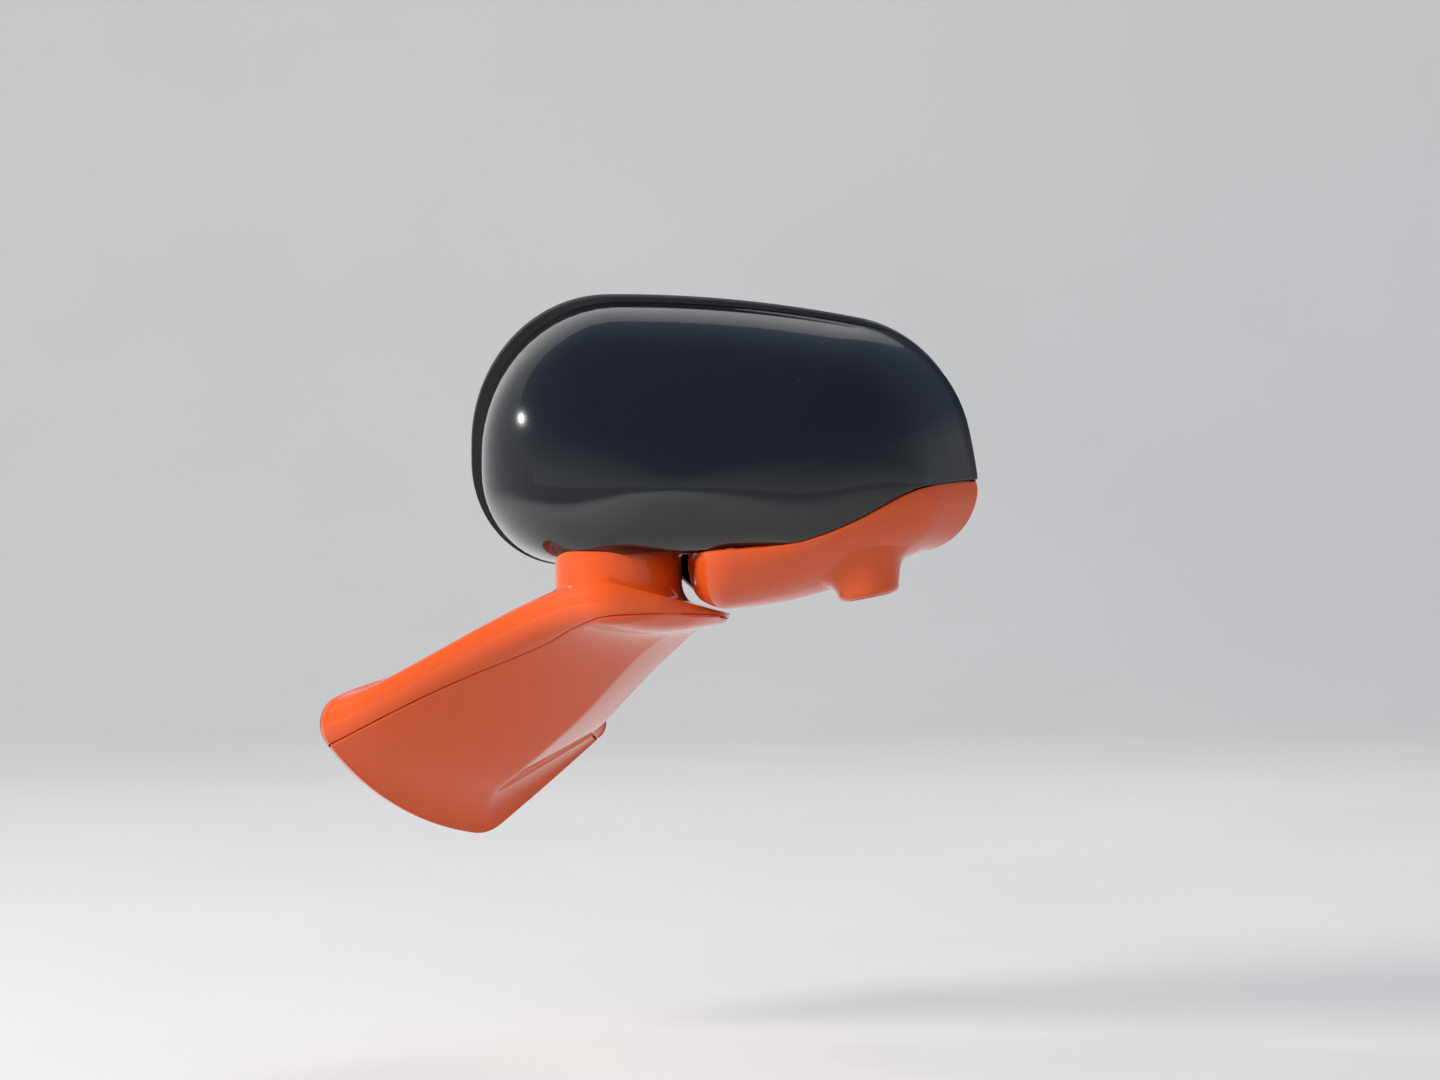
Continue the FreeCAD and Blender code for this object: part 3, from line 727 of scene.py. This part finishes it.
def belly_with_shoulder():
    """The lower cover's outer surface, trimmed at the seam and round the neck."""
    belly = cover_surface()
    belly.normal_update()
    for v in belly.verts:
        v.co += v.normal * shoulder_proud * smooth(-above_seam(v.co) / shoulder_drop)
    trim(belly, lambda p: -above_seam(p), seam_half + edge_roll)
    trim(belly, from_neck, edge_roll)
    return belly


pod_at = (78.0, -35.0, 79.5)
pod_lean = math.radians(12.0)
pod_face_r = 10.1
pod_r = 12.0
pod_spread = 0.30
pod_steps = 120
pod_fillet_most = 9.0
pod_lip_most = 3.6
pod_up = Vector((-math.sin(pod_lean), 0, math.cos(pod_lean)))
pod_aside = Vector((math.cos(pod_lean), 0, math.sin(pod_lean)))
pod_fore = pod_up.cross(pod_aside)


def pod_mesh(belly):
    """Rounded lip, wall and fillet of the pod, in strips round its leaning axis."""
    sight = BVHTree.FromBMesh(belly)
    tip = Vector(pod_at)
    columns = []
    for k in range(pod_steps):
        angle = 2 * math.pi * k / pod_steps
        out = pod_aside * math.cos(angle) + pod_fore * math.sin(angle)
        climb = (pod_up + out * pod_spread).normalized()
        start = tip + out * pod_r - pod_up * 20
        hit = sight.ray_cast(start, climb)[0] or sight.find_nearest(tip + out * pod_r + pod_up * 12.0)[0]
        height = max((hit - tip).dot(pod_up), 0.0)
        fillet = min(pod_fillet_most, 3.0 + 0.7 * height)
        foot, tilt = sight.find_nearest(hit + out * fillet)[:2]
        inward = -(out - tilt * out.dot(tilt)).normalized()
        edge = min(pod_lip_most, height * 0.55 + 0.8)
        rise = max(edge, height - 0.9 * fillet)
        lip = pod_r + pod_spread * edge - pod_face_r
        wall = tip + out * (pod_r + pod_spread * rise) + pod_up * rise
        foot = foot + pod_up * 0.05
        column = [tip + out * (pod_face_r - 0.6) + pod_up * 3.0,
                  tip + out * (pod_face_r - 0.3) + pod_up * 0.5]
        for turn in [math.pi / 2 * step / 8 for step in range(9)]:
            column.append(tip + out * (pod_face_r + lip * math.sin(turn))
                          + pod_up * edge * (1 - math.cos(turn)))
        column.append((column[-1] + wall) / 2)
        reach = (foot - wall).length
        column += bezier((wall, wall + climb * reach * 0.45, foot + inward * reach * 0.45, foot))
        column.append(foot + pod_up * 1.5)
        column.append(tip + out * (pod_face_r - 0.6) + pod_up * 12.0)
        columns.append(column)
    return closed_strips(columns)


belly = belly_with_shoulder()
pod = pod_mesh(belly)
harden(belly, cap_wall, edge_roll)
cover = finish_piece("lower_cover_skin", belly, orange_paint.material, "head", head_at)
finish_piece("camera_pod", pod, orange_paint.material, "head", head_at)
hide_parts("base_cover")

# Downward camera in the pod: a satin black housing ring with a stepped cone, and a domed glass lens.
# Both are turned parts, so each is a profile spun round the pod's axis.

camera_r = 9.6
camera_deep = 24.0
lens_r = 6.6
lens_at, lens_back, lens_domed = 0.9, 4.5, 5.4
satin_black = Finish("satin_black", Specular_IOR_Level=0.3)
etch = satin_black.noise(1600.0, 3.0, 0.65)
wear = satin_black.noise(24.0, 3.0)
satin_black.feed(
    Base_Color=satin_black.ramp(wear, (0.3, (0.010, 0.010, 0.011)), (0.8, (0.022, 0.022, 0.023))),
    Roughness=0.34 + 0.22 * etch,
    Normal=satin_black.bump(etch, 0.00006, 0.5))


def spun(profile, steps=72):
    """Turned solid round the pod's axis from (radius, height) points of a closed profile."""
    mesh = bmesh.new()
    rings = []
    spokes = [pod_aside * math.cos(a) + pod_fore * math.sin(a)
              for a in np.linspace(0, 2 * math.pi, steps, endpoint=False)]
    for r, h in profile:
        centre = Vector(pod_at) + pod_up * h
        if r == 0:
            rings.append([mesh.verts.new(centre)] * steps)
        else:
            rings.append([mesh.verts.new(centre + spoke * r) for spoke in spokes])
    closed = profile[0][0] > 0
    pairs = list(zip(rings, rings[1:])) + ([(rings[-1], rings[0])] if closed else [])
    for near, far in pairs:
        for k in range(steps):
            corners = list(dict.fromkeys((near[k - 1], near[k], far[k], far[k - 1])))
            if len(corners) > 2:
                mesh.faces.new(corners)
    bmesh.ops.recalc_face_normals(mesh, faces=mesh.faces)
    return mesh


camera_profile = [(lens_r - 0.4, 2.2), (lens_r + 0.1, 1.7), (lens_r + 0.5, 1.7), (lens_r + 0.6, 1.2),
                  (lens_r + 1.3, 1.2), (lens_r + 1.4, 0.75), (camera_r - 0.5, 0.7), (camera_r - 0.15, 0.8),
                  (camera_r, 1.1), (camera_r, camera_deep), (lens_r - 0.4, camera_deep)]
camera = finish_piece("camera_housing", spun(camera_profile), satin_black.material,
                      "head", head_at)
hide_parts("camera_module")

lens_glass = Finish("lens_glass", Roughness=0.03, Coat_Weight=1.0, Coat_Roughness=0.01, IOR=1.7)
tint = lens_glass.noise(120.0, 0.0)
lens_glass.feed(Base_Color=lens_glass.ramp(tint, (0.35, (0.004, 0.003, 0.010)), (0.65, (0.012, 0.004, 0.022))),
                Roughness=0.02 + 0.03 * lens_glass.noise(300.0, 1.0))
dome = [(lens_r * math.sin(a), lens_at + lens_domed * (1 - math.cos(a * 0.72)))
        for a in np.linspace(0.15, math.pi / 2, 12)]
lens_profile = [(0.0, lens_at)] + dome + [(lens_r - 0.1, lens_back), (0.0, lens_back)]
lens = finish_piece("camera_lens_dome", spun(lens_profile), lens_glass.material,
                    "head", head_at)
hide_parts("camera_lens")

# Rear bezel: the black frame that holds the edge of the cap and surrounds the mirror glass.
# A moulding in grained plastic with a rolled outer rim and a lip that turns in round the glass. Its
# profile is carried round between two outlines, the rim's and the opening's.

rim_box = (-121.5, 112.5, 91.0, 210.0)
rim_front_box = (-118.0, 115.5, 90.5, 208.0)
glass_box = (-100.0, 98.5, 103.0, 191.5)
glass_clear = 5.2
lip_depth = 10.2
lip_wall = 2.0
lip_front, lip_roll = 1.8, 1.4
rim_roll = 1.8
rim_depth, step_depth = 7.0, 7.6


def bezel_mesh():
    """The bezel's profile, ring by ring from the rolled rim round its back to the lip at the glass."""
    dense = (26, 34)
    rim = np.array(head_ring(*rim_box, 0.0, steps=dense))
    fore = np.array(head_ring(*rim_front_box, 0.0, steps=dense))
    hole = np.array(head_ring(*glass_box, 0.0, -glass_clear, steps=dense))
    back = np.array(head_ring(*glass_box, 0.0, -glass_clear - lip_wall, steps=dense))
    toward = hole - rim
    toward /= np.linalg.norm(toward, axis=1)[:, None]
    level = np.array((0, -1.0, 0))
    rings = []
    for step in range(7):
        turn = math.pi / 2 * step / 6
        rings.append(fore * 0.25 + rim * 0.75 + toward * rim_roll * (1 - math.sin(turn))
                     + level * rim_roll * (1 - math.cos(turn)))
    rings.append(fore + level * rim_depth)
    rings.append(fore + toward * 0.6 + level * step_depth)
    rings.append(back - toward * 0.5 + level * step_depth)
    rings.append(back + level * (step_depth + 0.6))
    rings.append(back + level * lip_depth)
    rings.append(hole + level * lip_depth)
    rings.append(hole + level * lip_front)
    for step in range(1, 6):
        turn = math.pi / 2 * step / 6
        rings.append(hole - toward * lip_roll * (1 - math.cos(turn))
                     + level * (lip_front - lip_roll * math.sin(turn)))
    return closed_strips(rings)


bezel = finish_piece("bezel_frame", bezel_mesh(), satin_black.material, "head", head_at)
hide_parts("rear_bezel")

# Mirror glass in its carrier.
# A flat silvered plate with a ground and polished edge, glued to a moulded carrier that shows only as a
# dark line behind it.

glass_depth = 8.0
glass_thick = 2.4
glass_edge = 0.7


def plate_mesh(box, near, far, edge):
    """Flat plate with rounded edges, between two depths."""
    steps = (20, 24)
    turns = [math.pi / 2 * step / 4 for step in range(5)]
    places = [(near, 9.0), (near, 4.0)]
    places += [(near + edge * (1 - math.cos(turn)), edge * (1 - math.sin(turn))) for turn in turns]
    places += [(far - edge * (1 - math.sin(turn)), edge * (1 - math.cos(turn))) for turn in turns]
    places.append((far, 4.0))
    rings = [head_ring(*box, depth, inset, steps) for depth, inset in places]
    mesh = bmesh.new()
    rows = [[mesh.verts.new(p) for p in ring] for ring in rings]
    for a, b in zip(rows, rows[1:]):
        for k in range(len(a)):
            mesh.faces.new((a[k - 1], a[k], b[k], b[k - 1]))
    mesh.faces.new(rows[0])
    mesh.faces.new(rows[-1])
    bmesh.ops.recalc_face_normals(mesh, faces=mesh.faces)
    return mesh


mirror = Finish("mirror", Metallic=1.0, Roughness=0.02)
film = mirror.noise(6.0, 2.0)
mirror.feed(Base_Color=mirror.ramp(film, (0.3, (0.74, 0.77, 0.80)), (0.7, (0.80, 0.82, 0.84))),
            Roughness=0.012 + 0.03 * mirror.ramp(mirror.noise(30.0, 4.0), (0.55, 0.0), (0.85, 1.0)))
glass = finish_piece("mirror_plate", plate_mesh(glass_box, glass_depth, glass_depth + glass_thick, glass_edge),
                     mirror.material, "glass", head_at)
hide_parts("mirror_glass")

# Works behind the glass: carrier, gimbal ring, actuator, frame plate, drive and the pivot tube.
# Glass-filled plastic mouldings and a turned steel tube. Their CAD solids have the right shapes and take
# these finishes.

frame_plastic = Finish("frame_plastic", Roughness=0.5, Specular_IOR_Level=0.4)
fibre = frame_plastic.node("Mapping", {}, {"Vector": frame_plastic.place, "Scale": (60.0, 60.0, 420.0)})
streak = frame_plastic.noise(4.0, 4.0, 0.6, fibre)
frame_plastic.feed(
    Base_Color=frame_plastic.ramp(streak, (0.3, (0.016, 0.016, 0.017)), (0.75, (0.04, 0.04, 0.042))),
    Roughness=0.4 + 0.25 * streak,
    Normal=frame_plastic.bump(frame_plastic.noise(700.0, 3.0), 0.0001, 0.4))

steel = Finish("steel", Metallic=1.0, Roughness=0.3)
turned = steel.node("Mapping", {}, {"Vector": steel.place, "Scale": (8.0, 8.0, 2600.0)})
lathe_marks = steel.noise(1.0, 3.0, 0.6, turned)
steel.feed(
    Base_Color=steel.ramp(lathe_marks, (0.3, (0.48, 0.47, 0.46)), (0.7, (0.62, 0.61, 0.60))),
    Roughness=0.22 + 0.2 * lathe_marks,
    Normal=steel.bump(lathe_marks, 0.00004, 0.4))

dress(frame_plastic, "glass_carrier", "gimbal_ring", "glass_actuator", "head_frame", "fold_drive")
dress(steel, "pivot_tube")

# Studio: a pale paper floor that sweeps up into a backdrop, and the camera at the photograph's angle.
# A soft key from ahead gives the shading, a small spark the highlight on the cap, and a fill and a rim
# light open the shadows. The sky is pale at the horizon.

view_az, view_el = math.radians(57.0), math.radians(5.0)
view_distance = 1.615
aim_right, aim_up = 0.1152, 0.1009
floor_height = -0.12
floor_ahead = 40.0
sweep_half = 40.0
sweep_back = 2.6
sweep_radius = 0.9
sweep_top = 3.4

right = Vector((math.cos(view_az), math.sin(view_az), 0))
back = Vector((right.y, -right.x, 0)) * math.cos(view_el) + Vector((0, 0, math.sin(view_el)))
middle = right * aim_right + back.cross(right) * aim_up


def studio_sweep():
    """Floor and backdrop in one strip, square to the camera."""
    turn_at = sweep_back - sweep_radius
    points = [(-floor_ahead, floor_height), (turn_at, floor_height)]
    for a in np.linspace(0, math.pi / 2, 16)[1:]:
        points.append((turn_at + sweep_radius * math.sin(a),
                       floor_height + sweep_radius * (1 - math.cos(a))))
    points.append((sweep_back, sweep_top))
    away = Vector((-right.y, right.x, 0))
    verts, faces = [], []
    for x, z in points:
        for y in (-sweep_half, sweep_half):
            verts.append(away * x + right * y + Vector((0, 0, z)))
    for k in range(len(points) - 1):
        faces.append((2 * k, 2 * k + 1, 2 * k + 3, 2 * k + 2))
    mesh = bpy.data.meshes.new("studio")
    mesh.from_pydata(verts, [], faces)
    mesh.polygons.foreach_set("use_smooth", [True] * len(mesh.polygons))
    return mesh


studio = Finish("studio_paper", Roughness=0.9, Emission_Strength=0.27)
seen, mirrored, through = [studio.node("LightPath", output="Is %s Ray" % kind)
                           for kind in ("Camera", "Glossy", "Transmission")]
studio.feed(
    Base_Color=studio.ramp(studio.noise(3.0, 2.0), (0.3, (0.60, 0.59, 0.575)), (0.7, (0.64, 0.63, 0.615))),
    Emission_Color=studio.blend(seen + mirrored + through, (0, 0, 0, 1), (1.0, 0.99, 0.97, 1)))
backdrop = keep_mesh("studio_sweep", studio_sweep())
backdrop.data.materials.append(studio.material)

camera_data = bpy.data.cameras.new("camera")
camera_data.lens = 90.0
camera_data.sensor_width = 36.0
camera_data.clip_start = 0.05
photo_camera = bpy.data.objects.new("camera", camera_data)
bpy.context.scene.collection.objects.link(photo_camera)
photo_camera.location = back * view_distance
photo_camera.rotation_euler = (photo_camera.location - middle).to_track_quat("Z", "Y").to_euler()
bpy.context.scene.camera = photo_camera


def softbox(name, place, size, power, colour, in_gloss):
    """A round soft light aimed at the head; in_gloss says whether glossy surfaces show it."""
    light = bpy.data.lights.new(name, "AREA")
    light.shape = "DISK"
    light.size = size
    light.energy = power
    light.color = colour
    lamp = bpy.data.objects.new(name, light)
    bpy.context.scene.collection.objects.link(lamp)
    lamp.location = place
    lamp.rotation_euler = (place - middle).to_track_quat("Z", "Y").to_euler()
    lamp.visible_glossy = in_gloss


# Columns: name, place, size in metres, power in watts, colour, whether glossy surfaces show it.
for row in (
        ("key", Vector((-0.15, -1.55, 1.0)), 0.7, 30.0, (1.0, 0.96, 0.90), False),
        ("spark", Vector((-1.15, -1.02, 0.80)), 0.07, 4.0, (1.0, 0.97, 0.92), True),
        ("fill", back * 1.7 + right * 1.2 + Vector((0, 0, 0.9)), 1.5, 6.0, (0.93, 0.96, 1.0), False),
        ("rim", -back * 1.1 + right * 0.6 + Vector((0, 0, 1.4)), 0.8, 7.0, (1.0, 1.0, 1.0), False)):
    softbox(*row)

world = bpy.data.worlds.new("world")
world.use_nodes = True
bpy.context.scene.world = world
sky = Finish("sky", world.node_tree)
direction = sky.node("TexCoord", output="Generated")
height = sky.node("SeparateXYZ", {}, {0: direction}, output="Z")
shade = sky.ramp(height * 0.5 + 0.5,
                 (0.0, (0.50, 0.50, 0.50)), (0.495, (0.62, 0.63, 0.64)), (0.52, (0.62, 0.66, 0.70)),
                 (0.60, (0.44, 0.50, 0.57)), (0.72, (0.22, 0.28, 0.36)), (1.0, (0.16, 0.20, 0.26)))
background = world.node_tree.nodes["Background"]
world.node_tree.links.new(shade.socket, background.inputs["Color"])
background.inputs["Strength"].default_value = 0.9
bpy.context.scene.view_settings.view_transform = "Standard"
